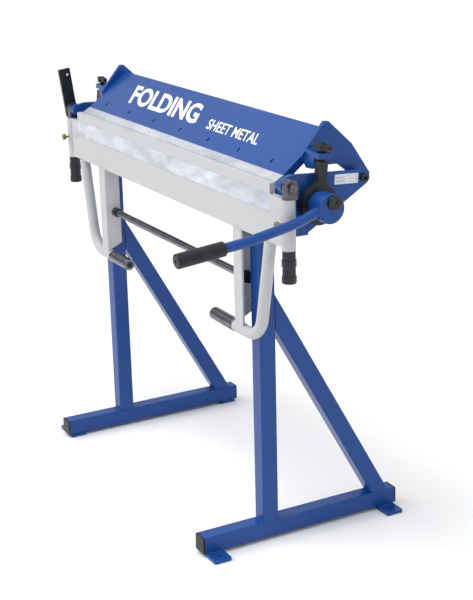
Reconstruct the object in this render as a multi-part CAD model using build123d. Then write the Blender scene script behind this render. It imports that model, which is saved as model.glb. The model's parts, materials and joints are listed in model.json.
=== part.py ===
"""Hand-operated sheet metal folding machine on a welded square-tube stand.

Millimetres, +Z up, +X to the operator's right when facing +Y, operator on the -Y side.
The origin is on the floor at the centre of the four floor bolt holes.
"""

import os
from math import asin, atan2, cos, hypot, radians, sin, sqrt, tan

from build123d import *

os.makedirs("parts", exist_ok=True)

# ---------------------------------------------------------------- driving dimensions
LEG_X = 400.0            # centre of each leg frame
POST_Y = -85.0           # centre of the posts
TUBE = 40.0              # square tube of the stand
TUBE_WALL = 3.0
TUBE_CORNER = 4.0        # outside corner radius of the square tube
TAB_T = 8.0              # floor tab thickness, so also the height of the foot bars' underside
FOOT_LENGTH = 512.0      # foot bar without its caps, centred on the floor bolt pattern
CAP_T = 5.0              # flange of a foot end cap
CAP_PLUG = 14.0          # depth of its plug in the tube
BOLT_X, BOLT_Y = 441.0, 232.0   # floor bolt holes, from the origin
BOLT_HOLE_R = 5.5
TAB_WIDTH = 43.0         # floor tab, along Y
TAB_END_X = 461.0        # outer edge of the floor tabs
BRACE_TOP_Z = 589.6      # upper edge of a brace at the post
BRACE_END_Y = 238.4      # upper edge of a brace at the foot bar

BED_Z = 864.0            # working surface, and height of the bend line
BEND_Y = -115.0          # bend line, the axis that the bending beam turns on
BLADE_HALF = 510.0       # half length of blade, jaw, nose block and face plate
BLADE_DEPTH = 48.0
BLADE_T = 11.2           # height of the blade bar
BLADE_BEVEL = 19.7       # run of the blade's front bevel
NOSE_LAND = 1.0          # small upright land at the blade's edge
JAW_T = 15.0
JAW_DEPTH = 60.5
BED_TUBE_Y, BED_TUBE_Z = 60.0, 100.0
BED_WALL = 5.0
TOP_PLATE_T = 8.0
TOP_PLATE_X, TOP_PLATE_Y = 110.0, 56.0
BED_BOLT_DX = 34.0       # bed bolts each side of the post centre

PLATE_X0, PLATE_X1 = 541.0, 551.0       # side plate, inner and outer face
PIN_X0 = 545.0                          # inner end of a pivot pin, inside the side plate
BOSS_X1 = 561.0                         # outer face of the pivot boss
BOSS_R = 14.5
LOBE_R = 16.0                           # rear lobe of a side plate
SIDE_BOTTOM_Z = 753.0
CLAMP_PIVOT_Y, CLAMP_PIVOT_Z = 77.0, 857.0
SHAFT_Y, SHAFT_Z = -37.0, 831.0
SHAFT_R = 10.0
BUSH_R = 14.0

SLOPE = 38.3             # slope of the clamping beam's face, degrees
FACE_LENGTH = 137.7      # face plate, up the slope
FACE_T = 8.0
NOSE_LENGTH = 55.0       # nose block, up the slope
NOSE_T = 16.5            # face plate and nose block together
END_PLATE_T = 10.0
END_PLATE_S = 50.0       # where an end plate starts, up the slope
SLOT_PITCH = 145.0
SLOT_MIDDLE = -4.0       # X of the middle slot
SLOT_S = 23.3            # slots, up the slope
SLOT_LENGTH, SLOT_WIDTH = 12.0, 7.0
SLOT_COUNT = 7
FLANGE_DEPTH = 60.0
RIB_T = 6.0

ROD_X = 565.0            # centre plane of the pull rods
ROD_RING_R = 42.0
ROD_RING_W = 20.0
ROD_LEAN = 6.0           # lean of the pull rods from upright, towards the rear, degrees
JOURNAL_R = 28.0         # eccentric journal in the rod's ring
DRUM_R = 31.0
DRUM_Y, DRUM_Z = -43.0, 817.6           # centre of the eccentric drums at rest
STEM_X, STEM_Y = 20.0, 19.0
ROD_FILLET_R = 16.0      # fillets between ring and stem
STUD_R = 6.5
BRACKET_X1 = 576.0
BRACKET_Y0, BRACKET_Y1 = -46.0, -13.0
BRACKET_Z0, BRACKET_Z1 = 913.0, 925.0
BRACKET_HOLE_R = 10.5
BRACKET_WEB_T = 5.0
BRACKET_WEB_X1 = 553.0   # outer edge of the web, inboard of the rod's stem
WING_HALF = 27.5
NUT_GAP = 4.0            # wing nut above the bracket
NUT_FLANGE_R = 12.5      # covers the bracket's hole

LEVER_X = 606.0
LEVER_R = 10.5
GRIP_R = 15.5
GRIP_LENGTH = 107.0
DRUM_X1 = 617.0          # outer face of the lever-side drum
LEFT_DRUM_X1 = 595.0     # outer face of the other drum
SHAFT_CAP_R = 15.8

BEAM_T = 14.0
BEAM_BOTTOM_Z = 738.0
BEAM_HALF = 572.0
BEAM_TOP_HALF = 515.0    # half length of the full-height middle
BEAM_END_Z = 841.0       # top of the beam's lower ends
RAIL_Z0, RAIL_Z1 = 802.0, 842.0
RAIL_T = 6.0
EYE_X0, EYE_X1 = 564.0, 584.0
SLEEVE_X, SLEEVE_Y = 574.0, -119.5
SLEEVE_R = 15.0
SLEEVE_Z0, SLEEVE_Z1 = 734.0, 840.0
SLEEVE_BORE_R = 8.2
EYE_SHANK_R = 7.0
PIN_R = 8.0
KNOB_R, KNOB_RING_R = 14.2, 15.8
KNOB_LENGTH = 70.0
KNOB_FLUTES = 12
LOCK_Z = 790.0

ARM_X0 = 350.0           # inner face of an angle arm
ARM_LEG = 40.0
ARM_FRONT = 37.0
ARM_T = 5.0
HANDLE_R = 13.45
HANDLE_WALL = 2.6
HANDLE_TOP_X = 500.0
HANDLE_LOW_X = 449.0
HANDLE_Z = 506.0
HANDLE_Y = -120.0
HANDLE_BEND = 62.0
HANDLE_END_X = 340.0
GRIP_TUBE_R = 15.0
HAND_GRIP_LENGTH = 104.0
TIE_Y, TIE_Z = -102.0, 621.0
TIE_R = 9.0
COLLAR_R, COLLAR_LENGTH = 11.5, 18.0

STOP_X0, STOP_X1 = 590.0, 598.0
STOP_WIDTH = 32.0
STOP_TILT = 7.5
STOP_UP, STOP_DOWN = 107.0, 22.0
STOP_HOLE_UP, STOP_HOLE_BACK = 90.0, 7.0
STOP_HOLE_R = 3.5

CLEAR = 0.05             # radial running clearance of a pin or shaft in its bore
GAP = 0.3                # gap between faces of moving parts

# ---------------------------------------------------------------- derived planes
BEAM_REAR_Y = BEND_Y
BEAM_FRONT_Y = BEND_Y - BEAM_T
FOOT_TOP_Z = TAB_T + TUBE
JAW_Z0 = BED_Z - JAW_T
BED_Z0 = JAW_Z0 - BED_TUBE_Z
BED_Y0 = BEND_Y + 2.0
JAW_Y0 = BEND_Y + 0.5
BLADE_Y0 = BEND_Y + 1.6
BLADE_TOP_Z = BED_Z + BLADE_T
SIDE_FRONT_Y = BEND_Y + 2.0
POST_TOP_Z = BED_Z0 - TOP_PLATE_T


# ---------------------------------------------------------------- helpers
def block(x0, x1, y0, y1, z0, z1):
    """Box between two corners."""
    low = (min(x0, x1), min(y0, y1), min(z0, z1))
    return Pos(*low) * Box(abs(x1 - x0), abs(y1 - y0), abs(z1 - z0), align=(Align.MIN,) * 3)


def along_x(x0, x1, y, z, r, hole=0.0):
    """Round bar along X, with an optional bore."""
    low, length = min(x0, x1), abs(x1 - x0)
    bar = Plane((low, y, z), z_dir=(1, 0, 0)) * Cylinder(r, length, align=(Align.CENTER,) * 2 + (Align.MIN,))
    if hole:
        bar -= Plane((low - 1, y, z), z_dir=(1, 0, 0)) * Cylinder(
            hole, length + 2, align=(Align.CENTER,) * 2 + (Align.MIN,))
    return bar


def along_z(x, y, z0, z1, r, hole=0.0):
    """Upright round bar, with an optional bore."""
    up = (Align.CENTER,) * 2 + (Align.MIN,)
    bar = Pos(x, y, z0) * Cylinder(r, z1 - z0, align=up)
    if hole:
        bar -= Pos(x, y, z0 - 1) * Cylinder(hole, z1 - z0 + 2, align=up)
    return bar


def along_y(x, y0, y1, z, r):
    """Round bar along Y."""
    return Plane((x, y0, z), x_dir=(1, 0, 0), z_dir=(0, 1, 0)) * Cylinder(
        r, y1 - y0, align=(Align.CENTER,) * 2 + (Align.MIN,))


def profile_x(points, x0, x1):
    """Prism along X from a closed outline of (Y, Z) points."""
    outline = Plane.YZ.offset(min(x0, x1)) * make_face(Polyline(*points, close=True))
    return extrude(outline, amount=abs(x1 - x0), dir=(1, 0, 0))


def profile_y(points, y0, y1):
    """Prism along Y from a closed outline of (X, Z) points."""
    plane = Plane((0, y0, 0), x_dir=(1, 0, 0), z_dir=(0, -1, 0))
    return extrude(plane * make_face(Polyline(*points, close=True)), amount=y1 - y0, dir=(0, 1, 0))


def hex_along(plane, across_flats, height):
    """Hexagonal prism standing on a plane."""
    return extrude(plane * RegularPolygon(across_flats / 2, 6, major_radius=False), amount=height)


def square_tube(plane, length):
    """Length of the stand's square tube, starting on a plane and centred on it."""
    inner = TUBE - 2 * TUBE_WALL
    section = RectangleRounded(TUBE, TUBE, TUBE_CORNER) - RectangleRounded(
        inner, inner, TUBE_CORNER - TUBE_WALL)
    return extrude(plane * section, amount=length)


def both(solid):
    """A solid of the right side together with its mirror image on the left."""
    return [solid, mirror(solid, about=Plane.YZ)]


def tangent(point, centre, r, side):
    """Point where a line from a point touches a circle; side is 1 or -1."""
    dy, dz = centre[0] - point[0], centre[1] - point[1]
    heading = atan2(dz, dy) + side * asin(r / hypot(dy, dz))
    return (centre[0] - side * r * sin(heading), centre[1] + side * r * cos(heading))


def on_slope(s, h):
    """(Y, Z) of a point s up the clamping beam's face and h out of it."""
    c, d = cos(radians(SLOPE)), sin(radians(SLOPE))
    return (BLADE_Y0 + BLADE_BEVEL + s * c - h * d, BLADE_TOP_Z + s * d + h * c)


def slope_plane(x, s, h):
    """Plane on the clamping beam's face, looking out of it, x along X."""
    y, z = on_slope(s, h)
    return Plane((x, y, z), x_dir=(1, 0, 0), z_dir=(0, -sin(radians(SLOPE)), cos(radians(SLOPE))))


def save(name, *solids):
    """Write one sub-part, a single solid or a group of separate solids."""
    flat = []
    for solid in solids:
        flat.extend(solid if isinstance(solid, list) else [solid])
    pieces = [piece for item in flat for piece in item.solids()]
    shape = pieces[0] if len(pieces) == 1 else Compound(children=pieces)
    shape.label = name
    export_step(shape, f"parts/{name}.step")


# ---------------------------------------------------------------- stand
def foot_bar():
    """Square tube along Y under the right leg, standing on the floor tabs."""
    start = Plane((LEG_X, -FOOT_LENGTH / 2, TAB_T + TUBE / 2), x_dir=(1, 0, 0), z_dir=(0, 1, 0))
    return square_tube(start, FOOT_LENGTH)


def upright():
    """Right post, from the foot bar to its top plate."""
    return square_tube(Plane((LEG_X, POST_Y, FOOT_TOP_Z)), POST_TOP_Z - FOOT_TOP_Z)


def brace():
    """Right diagonal brace, mitred to the post's rear face and the foot bar's top."""
    rear = POST_Y + TUBE / 2
    run, rise = BRACE_END_Y - rear, BRACE_TOP_Z - FOOT_TOP_Z
    length = hypot(run, rise)
    down = (0, run / length, -rise / length)
    inward = (0, -rise / length, -run / length)
    overrun = 2 * TUBE
    start = (LEG_X,
             rear + inward[1] * TUBE / 2 - down[1] * overrun,
             BRACE_TOP_Z + inward[2] * TUBE / 2 - down[2] * overrun)
    tube = square_tube(Plane(start, x_dir=(1, 0, 0), z_dir=down), length + 2 * overrun)
    return tube & block(LEG_X - TUBE, LEG_X + TUBE, rear, BRACE_END_Y + TUBE, FOOT_TOP_Z, BRACE_TOP_Z + TUBE)


def foot_end_cap(x, end):
    """Push-in cap of a foot bar; end is 1 at the rear and -1 at the front."""
    plug = TUBE - 2 * TUBE_WALL - 0.2
    middle = TAB_T + TUBE / 2
    face = Plane((x, end * FOOT_LENGTH / 2, middle), x_dir=(1, 0, 0), z_dir=(0, end, 0))
    cap = extrude(face * RectangleRounded(TUBE, TUBE, TUBE_CORNER), amount=CAP_T)
    cap = fillet(cap.faces().sort_by(Axis.Y)[-1 if end > 0 else 0].edges(), 1.5)
    return cap + extrude(face * RectangleRounded(plug, plug, 1.0), amount=-CAP_PLUG)


def floor_tab(side, end):
    """Plate under a foot bar with one floor bolt hole outboard of it."""
    x0, x1 = side * (LEG_X - TUBE / 2), side * TAB_END_X
    y = end * BOLT_Y
    tab = block(x0, x1, y - TAB_WIDTH / 2, y + TAB_WIDTH / 2, 0, TAB_T)
    corners = tab.edges().filter_by(Axis.Z).group_by(Axis.X)[-1 if side > 0 else 0]
    tab = fillet(corners, 4.0)
    return tab - along_z(side * BOLT_X, y, -1, TAB_T + 1, BOLT_HOLE_R)


def top_plate():
    """Plate on the right post that the bed stands on."""
    plate = block(LEG_X - TOP_PLATE_X / 2, LEG_X + TOP_PLATE_X / 2,
                  BED_Y0 + 2, BED_Y0 + 2 + TOP_PLATE_Y, POST_TOP_Z, BED_Z0)
    for dx in (-BED_BOLT_DX, BED_BOLT_DX):
        plate -= along_z(LEG_X + dx, POST_Y, POST_TOP_Z - 1, BED_Z0 + 1, 5.0)
    return plate


def bed_bolt(dx):
    """Hex bolt up through the right top plate and the bed's lower wall."""
    head = hex_along(Plane((LEG_X + dx, POST_Y, POST_TOP_Z), z_dir=(0, 0, -1)), 15.0, 6.0)
    return head + along_z(LEG_X + dx, POST_Y, POST_TOP_Z, BED_Z0 + BED_WALL + 8, 4.95)


def bed_tube():
    """Box-section bed between the side plates."""
    y1, z1 = BED_Y0 + BED_TUBE_Y, BED_Z0 + BED_TUBE_Z
    tube = block(-PLATE_X0, PLATE_X0, BED_Y0, y1, BED_Z0, z1)
    tube -= block(-PLATE_X0, PLATE_X0, BED_Y0 + BED_WALL, y1 - BED_WALL, BED_Z0 + BED_WALL, z1 - BED_WALL)
    for x in (-LEG_X - BED_BOLT_DX, -LEG_X + BED_BOLT_DX, LEG_X - BED_BOLT_DX, LEG_X + BED_BOLT_DX):
        tube -= along_z(x, POST_Y, BED_Z0 - 1, BED_Z0 + BED_WALL + 1, 5.0)
    for x in jaw_screw_places():
        tube -= along_z(x, JAW_Y0 + JAW_DEPTH / 2, z1 - BED_WALL - 1, z1 + 1, 4.05)
    return tube


def jaw_screw_places():
    """X of the countersunk screws of the lower jaw."""
    return [-450 + 180 * i for i in range(6)]


def bed_jaw():
    """Flat lower jaw on the bed, with countersunk screw holes."""
    jaw = block(-BLADE_HALF, BLADE_HALF, JAW_Y0, JAW_Y0 + JAW_DEPTH, JAW_Z0, BED_Z)
    y = JAW_Y0 + JAW_DEPTH / 2
    for x in jaw_screw_places():
        jaw -= along_z(x, y, JAW_Z0 - 1, BED_Z + 1, 4.05)
        jaw -= Pos(x, y, BED_Z - 2) * Cone(4.05, 8.05, 4.0)
    return jaw


def jaw_screw(x):
    """Countersunk socket screw, flush with the jaw."""
    y = JAW_Y0 + JAW_DEPTH / 2
    screw = along_z(x, y, JAW_Z0 - BED_WALL - 6, BED_Z - 4, 4.0)
    screw += Pos(x, y, BED_Z - 2.2) * Cone(4.0, 7.6, 3.6)
    return screw - hex_along(Plane((x, y, BED_Z - 3.0)), 5.0, 4.0)


def side_plate():
    """Right side plate with the bending pivot lug in front and the clamp pivot lobe behind."""
    lobe = (CLAMP_PIVOT_Y, CLAMP_PIVOT_Z)
    lug = (BEND_Y, BED_Z)
    shoulder = (BEND_Y + 20, BED_Z + 19)
    heel = (-65.0, SIDE_BOTTOM_Z)
    points = [(SIDE_FRONT_Y, SIDE_BOTTOM_Z), heel, tangent(heel, lobe, LOBE_R, -1),
              tangent(shoulder, lobe, LOBE_R, 1), shoulder,
              tangent(shoulder, lug, BOSS_R, -1), (SIDE_FRONT_Y, BED_Z)]
    plate = profile_x(points, PLATE_X0, PLATE_X1)
    plate += along_x(PLATE_X0, PLATE_X1, *lobe, LOBE_R) + along_x(PLATE_X0, PLATE_X1, *lug, BOSS_R)
    plate -= along_x(PLATE_X0 - 1, PLATE_X1 + 1, *lobe, 7.05)
    plate -= along_x(PIN_X0, PLATE_X1 + 1, *lug, PIN_R + CLEAR)
    return plate - along_x(PLATE_X0 - 1, PLATE_X1 + 1, SHAFT_Y, SHAFT_Z, BUSH_R)


def pivot_boss():
    """Boss welded on the right side plate round the bending pivot."""
    return along_x(PLATE_X1, BOSS_X1, BEND_Y, BED_Z, BOSS_R, PIN_R + CLEAR)


def pivot_pin(side):
    """Headed pin of the bending beam; the left one is longer and carries the stop arm."""
    outer = EYE_X1 + 2.5 if side > 0 else STOP_X1
    pin = along_x(side * PIN_X0, side * outer, BEND_Y, BED_Z, PIN_R)
    head = along_x(side * outer, side * (outer + 6.0), BEND_Y, BED_Z, 10.0)
    head = fillet(head.edges().group_by(Axis.X)[-1 if side > 0 else 0], 2.0)
    return pin + head


def pivot_washers():
    """Bronze washers inboard of the eyes and steel washers outboard of them."""
    rings = both(along_x(BOSS_X1, EYE_X0 - GAP, BEND_Y, BED_Z, 13.0, PIN_R + CLEAR))
    rings.append(along_x(EYE_X1 + GAP, EYE_X1 + 2.5, BEND_Y, BED_Z, 12.5, PIN_R + CLEAR))
    rings.append(along_x(-EYE_X1 - GAP, -STOP_X0, BEND_Y, BED_Z, 15.0, PIN_R + CLEAR))
    return rings


def stop_arm():
    """Flat bar on the left pivot pin, leaning forward, with a hole near its top."""
    middle = (STOP_UP - STOP_DOWN) / 2
    bar = Plane.YZ * (Pos(0, middle) * Rectangle(STOP_WIDTH, STOP_UP + STOP_DOWN))
    arm = extrude(bar, amount=STOP_X1 - STOP_X0, dir=(1, 0, 0))
    arm = fillet(arm.edges().filter_by(Axis.X), 1.5)
    arm -= along_x(-1, STOP_X1 - STOP_X0 + 1, 0, 0, PIN_R + CLEAR)
    arm -= along_x(-1, STOP_X1 - STOP_X0 + 1, STOP_HOLE_BACK, STOP_HOLE_UP, STOP_HOLE_R)
    return Pos(-STOP_X1, BEND_Y, BED_Z) * Rot(STOP_TILT, 0, 0) * arm


def clamp_pivot_bolt():
    """Right shoulder bolt of the clamping beam's rear pivot."""
    y, z = CLAMP_PIVOT_Y, CLAMP_PIVOT_Z
    bolt = along_x(BLADE_HALF - 12, PLATE_X1, y, z, 7.0)
    bolt += along_x(BLADE_HALF + END_PLATE_T + 1, PLATE_X0, y, z, 10.5)
    head = fillet(along_x(PLATE_X1, PLATE_X1 + 9, y, z, 9.0).edges().group_by(Axis.X)[-1], 1.5)
    socket = hex_along(Plane((PLATE_X1 + 9, y, z), z_dir=(-1, 0, 0)), 8.0, 5.0)
    return bolt + head - socket


def clamp_pivot_nut():
    """Locknut inside the right end plate."""
    x = BLADE_HALF - 1.0
    nut = hex_along(Plane((x, CLAMP_PIVOT_Y, CLAMP_PIVOT_Z), z_dir=(-1, 0, 0)), 21.0, 10.0)
    return nut - along_x(x - 11, x + 1, CLAMP_PIVOT_Y, CLAMP_PIVOT_Z, 7.0)


def shaft_bush():
    """Flanged bush of the eccentric shaft in the right side plate."""
    bush = along_x(PLATE_X0, PLATE_X1, SHAFT_Y, SHAFT_Z, BUSH_R, SHAFT_R + CLEAR)
    return bush + along_x(PLATE_X1, PLATE_X1 + 2, SHAFT_Y, SHAFT_Z, BUSH_R + 4, SHAFT_R + CLEAR)


def rating_label():
    """Blank label plate on the right side plate."""
    label = block(PLATE_X1, PLATE_X1 + 0.6, -29.0, 29.0, -10.5, 10.5)
    label = fillet(label.edges().filter_by(Axis.X), 1.5)
    return Pos(0, 34.7, 859.2) * Rot(-3.2, 0, 0) * label


# ---------------------------------------------------------------- clamping beam
def slot_places():
    """X of the slots in the clamping beam's face."""
    return [SLOT_MIDDLE + SLOT_PITCH * (i - (SLOT_COUNT - 1) / 2) for i in range(SLOT_COUNT)]


def clamp_face_plate():
    """Sloped face plate standing on the blade, with a row of slots low down."""
    low_y, low_z = on_slope(-FACE_T, 0)
    outline = [on_slope(-20, 0), on_slope(FACE_LENGTH, 0),
               on_slope(FACE_LENGTH, -FACE_T), on_slope(-20, -FACE_T)]
    plate = profile_x(outline, -BLADE_HALF, BLADE_HALF)
    plate -= block(-BLADE_HALF - 1, BLADE_HALF + 1, low_y - 60, low_y + 60, low_z - 60, BLADE_TOP_Z)
    for x in slot_places():
        slot = slope_plane(x, SLOT_S, 1) * (Rot(0, 0, 90) * SlotOverall(SLOT_LENGTH, SLOT_WIDTH))
        plate -= extrude(slot, amount=-FACE_T - 2)
    return plate


def nose_block_outline():
    """(Y, Z) outline of the block under the face plate."""
    slope = tan(radians(SLOPE))

    def at_blade_top(h):
        y, z = on_slope(0, h)
        return (y + (BLADE_TOP_Z - z) / slope, BLADE_TOP_Z)

    return [at_blade_top(-FACE_T), on_slope(NOSE_LENGTH, -FACE_T),
            on_slope(NOSE_LENGTH, -NOSE_T), at_blade_top(-NOSE_T)]


def clamp_nose_block():
    """Solid bar between the face plate and the blade."""
    nose = profile_x(nose_block_outline(), -BLADE_HALF, BLADE_HALF)
    for x in slot_places():
        hole = slope_plane(x, SLOT_S, -FACE_T + 1) * Circle(2.5)
        nose -= extrude(hole, amount=-6)
    return nose


def clamp_blade():
    """Bevelled upper blade that clamps the sheet along the bend line."""
    edge = BLADE_Y0
    points = [(edge, BED_Z), (edge + BLADE_DEPTH, BED_Z), (edge + BLADE_DEPTH, BLADE_TOP_Z),
              (edge + BLADE_BEVEL, BLADE_TOP_Z), (edge, BED_Z + NOSE_LAND)]
    return profile_x(points, -BLADE_HALF, BLADE_HALF)


def blade_screw(x):
    """Socket screw sunk in a slot of the face plate."""
    screw = extrude(slope_plane(x, SLOT_S, -FACE_T) * Circle(3.2), amount=4.5)
    screw += extrude(slope_plane(x, SLOT_S, -FACE_T) * Circle(2.45), amount=-4.5)
    return screw - hex_along(slope_plane(x, SLOT_S, -FACE_T + 2), 3.2, 3)


def end_plate():
    """Right end plate of the clamping beam, standing proud of the face."""
    py, pz = CLAMP_PIVOT_Y, CLAMP_PIVOT_Z
    points = [on_slope(END_PLATE_S, -NOSE_T), on_slope(END_PLATE_S, 4.5), on_slope(138.5, 22.0),
              (11.6, BED_Z + 113.8), (68.9, BED_Z + 60.4),
              (py + 37, pz), (py + 26, pz - 15), (py - 7, pz - 15), (py - 14, pz - 6), (py - 12.5, pz + 4),
              (py - 43.5, pz + 28.6), (-21.1, pz + 31.0)]
    plate = profile_x(points, BLADE_HALF, BLADE_HALF + END_PLATE_T)
    peak = plate.edges().filter_by(Axis.X).sort_by(Axis.Z)[-2:]
    plate = fillet(peak, 4.0)
    return plate - along_x(BLADE_HALF - 1, BLADE_HALF + END_PLATE_T + 1, py, pz, 7.0 + CLEAR)


def clamp_top_flange():
    """Stiffening flange behind the face plate's top edge."""
    s0, s1 = FACE_LENGTH - FACE_T, FACE_LENGTH
    points = [on_slope(s0, -FACE_T), on_slope(s1, -FACE_T),
              on_slope(s1, -FACE_T - FLANGE_DEPTH), on_slope(s0, -FACE_T - FLANGE_DEPTH)]
    return profile_x(points, -BLADE_HALF, BLADE_HALF)


def clamp_rib(x):
    """Gusset between face plate, nose block and top flange."""
    s1 = FACE_LENGTH - FACE_T
    points = [on_slope(NOSE_LENGTH, -FACE_T), on_slope(s1, -FACE_T),
              on_slope(s1, -FACE_T - FLANGE_DEPTH + 6), on_slope(s1 - 12, -FACE_T - FLANGE_DEPTH + 6),
              on_slope(NOSE_LENGTH, -NOSE_T)]
    return profile_x(points, x - RIB_T / 2, x + RIB_T / 2)


def rod_bracket():
    """Right bracket that the pull rod holds down: a thick plate with a web under it, beside the rod."""
    x0 = BLADE_HALF + END_PLATE_T
    hole_y = rod_axis_y((BRACKET_Z0 + BRACKET_Z1) / 2)
    plate = block(x0, BRACKET_X1, BRACKET_Y0, BRACKET_Y1, BRACKET_Z0, BRACKET_Z1)
    plate = fillet(plate.edges().filter_by(Axis.Z).group_by(Axis.X)[-1], 3.0)
    web_points = [(x0, 887), (BRACKET_WEB_X1 - 5, 889), (BRACKET_WEB_X1, 894),
                  (BRACKET_WEB_X1, BRACKET_Z0), (x0, BRACKET_Z0)]
    web = profile_y(web_points, BRACKET_Y0, BRACKET_Y0 + BRACKET_WEB_T)
    hole = along_z(ROD_X, hole_y, BRACKET_Z0 - 1, BRACKET_Z1 + 1, BRACKET_HOLE_R)
    return plate + web - hole


# ---------------------------------------------------------------- clamping drive
def rod_axis_y(z):
    """Y of the rod axis at a height."""
    return DRUM_Y + (z - DRUM_Z) * tan(radians(ROD_LEAN))


def rod_frame(z):
    """Plane across the rod axis at the height z, with its normal up the rod."""
    lean = radians(ROD_LEAN)
    return Plane((ROD_X, rod_axis_y(z), z), x_dir=(1, 0, 0), z_dir=(0, sin(lean), cos(lean)))


def pull_rod():
    """Right cast pull rod: a ring round the eccentric journal, filleted into a square stem."""
    half = ROD_RING_W / 2
    ring = along_x(ROD_X - half, ROD_X + half, DRUM_Y, DRUM_Z, ROD_RING_R)
    stem = extrude(rod_frame(BRACKET_Z0 - 5) * Rectangle(STEM_X, STEM_Y), amount=-(BRACKET_Z0 - 5 - DRUM_Z))
    stem = chamfer(stem.faces().sort_by(Axis.Z)[-1].edges(), 2.0)
    c, d = cos(radians(ROD_LEAN)), sin(radians(ROD_LEAN))

    def local(across, up):
        return (DRUM_Y + across * c + up * d, DRUM_Z - across * d + up * c)

    out = STEM_Y / 2 + ROD_FILLET_R
    up = sqrt((ROD_RING_R + ROD_FILLET_R) ** 2 - out ** 2)
    on_ring = ROD_RING_R / (ROD_RING_R + ROD_FILLET_R)
    throat = profile_x([local(-out * on_ring, up * on_ring), local(-STEM_Y / 2, up),
                        local(STEM_Y / 2, up), local(out * on_ring, up * on_ring)],
                       ROD_X - half, ROD_X + half)
    for side in (-1, 1):
        throat -= along_x(ROD_X - half - 1, ROD_X + half + 1, *local(side * out, up), ROD_FILLET_R)
    rod = ring + stem + throat
    rod -= along_x(ROD_X - half - 1, ROD_X + half + 1, DRUM_Y, DRUM_Z, JOURNAL_R + CLEAR)
    return rod - extrude(rod_frame(BRACKET_Z0 - 5) * Circle(STUD_R), amount=-25)


def rod_stud():
    """Threaded stud screwed into the top of the right pull rod."""
    start = rod_frame(BRACKET_Z0 - 5)
    stud = extrude(start * Circle(STUD_R), amount=-25) + extrude(start * Circle(STUD_R - 0.5), amount=37)
    return chamfer(stud.faces().sort_by(Axis.Z)[-1].edges(), 1.0)


def wing_nut(turn):
    """Right wing nut on the stud, its arms turned about the stud from X."""
    base = rod_frame(BRACKET_Z1 + NUT_GAP)
    hub = extrude(base * Circle(10.0), amount=13) + extrude(base * Circle(NUT_FLANGE_R), amount=3)
    bar = extrude(base.offset(3) * (Rot(0, 0, turn) * RectangleRounded(2 * WING_HALF, 12, 4)), amount=10)
    bar = fillet(bar.faces().sort_by(Axis.Z)[-1].edges(), 1.5)
    return hub + bar - extrude(base.offset(-1) * Circle(STUD_R - 0.5 + CLEAR), amount=16)


def eccentric(outer_x):
    """Right eccentric: a journal in the rod's ring and a drum outboard of it, bored for the shaft."""
    x0 = PLATE_X1 + 2 + GAP
    x1 = ROD_X + ROD_RING_W / 2 + GAP
    drum = along_x(x0, x1, DRUM_Y, DRUM_Z, JOURNAL_R) + along_x(x1, outer_x, DRUM_Y, DRUM_Z, DRUM_R)
    drum = fillet(drum.edges().group_by(Axis.X)[-1], 1.5)
    return drum - along_x(x0 - 1, outer_x + 1, SHAFT_Y, SHAFT_Z, SHAFT_R)


def eccentric_shaft():
    """Cross shaft that turns both eccentrics together."""
    return along_x(-LEFT_DRUM_X1, DRUM_X1, SHAFT_Y, SHAFT_Z, SHAFT_R)


def shaft_cap(x):
    """Round end cap with a centre dimple."""
    out = 1 if x > 0 else -1
    cap = along_x(x, x + out * 6.5, SHAFT_Y, SHAFT_Z, SHAFT_CAP_R)
    cap = fillet(cap.edges().group_by(Axis.X)[-1 if out > 0 else 0], 2.5)
    return cap - along_x(x + out * 4.5, x + out * 7.5, SHAFT_Y, SHAFT_Z, 3.0)


def lever_path():
    """Centre line of the clamping lever, from inside the drum to its free end."""
    points = [(LEVER_X, -55, 820), (LEVER_X, -120, 796.5), (LEVER_X, -235, 775), (LEVER_X, -384, 760.5)]
    return FilletPolyline(*points, radius=(240, 420))


def clamp_lever_tube():
    """Bent lever tube, coped to the drum."""
    path = lever_path()
    tube = sweep(Plane(path @ 0, z_dir=path % 0) * Circle(LEVER_R), path=path)
    return tube - along_x(LEVER_X - 20, DRUM_X1, DRUM_Y, DRUM_Z, DRUM_R)


def lever_grip():
    """Plastic grip pushed over the end of the lever tube."""
    path = lever_path()
    end, heading = path @ 1, path % 1
    inward = (Align.CENTER,) * 2 + (Align.MIN,)
    outer = Plane(end + heading * 8, z_dir=-heading) * Cylinder(GRIP_R, GRIP_LENGTH, align=inward)
    outer = fillet(outer.edges().filter_by(GeomType.CIRCLE), 3.0)
    bore = Plane(end, z_dir=-heading) * Cylinder(LEVER_R, GRIP_LENGTH, align=inward)
    vent = Plane(end + heading * 9, z_dir=-heading) * Cylinder(3.0, 10, align=inward)
    return outer - bore - vent


# ---------------------------------------------------------------- bending beam
def bending_beam_plate():
    """Thick plate with a pocket for the rail, its lower ends coped round the sleeves."""
    plate = block(-BEAM_HALF, BEAM_HALF, BEAM_FRONT_Y, BEAM_REAR_Y, BEAM_BOTTOM_Z, BEAM_END_Z)
    plate += block(-BEAM_TOP_HALF, BEAM_TOP_HALF, BEAM_FRONT_Y, BEAM_REAR_Y, BEAM_END_Z, BED_Z)
    pocket = block(-BEAM_TOP_HALF, BEAM_TOP_HALF, BEAM_FRONT_Y - 1, BEAM_FRONT_Y + RAIL_T, RAIL_Z0, RAIL_Z1)
    for x in (-SLEEVE_X, SLEEVE_X):
        plate -= along_z(x, SLEEVE_Y, BEAM_BOTTOM_Z - 5, BEAM_END_Z + 1, SLEEVE_R)
    return plate - pocket


def bending_rail():
    """Bare steel rail set in the beam's front."""
    rail = block(-BEAM_TOP_HALF, BEAM_TOP_HALF, BEAM_FRONT_Y, BEAM_FRONT_Y + RAIL_T, RAIL_Z0, RAIL_Z1)
    return chamfer(rail.faces().sort_by(Axis.Y)[0].edges(), 0.8)


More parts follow.
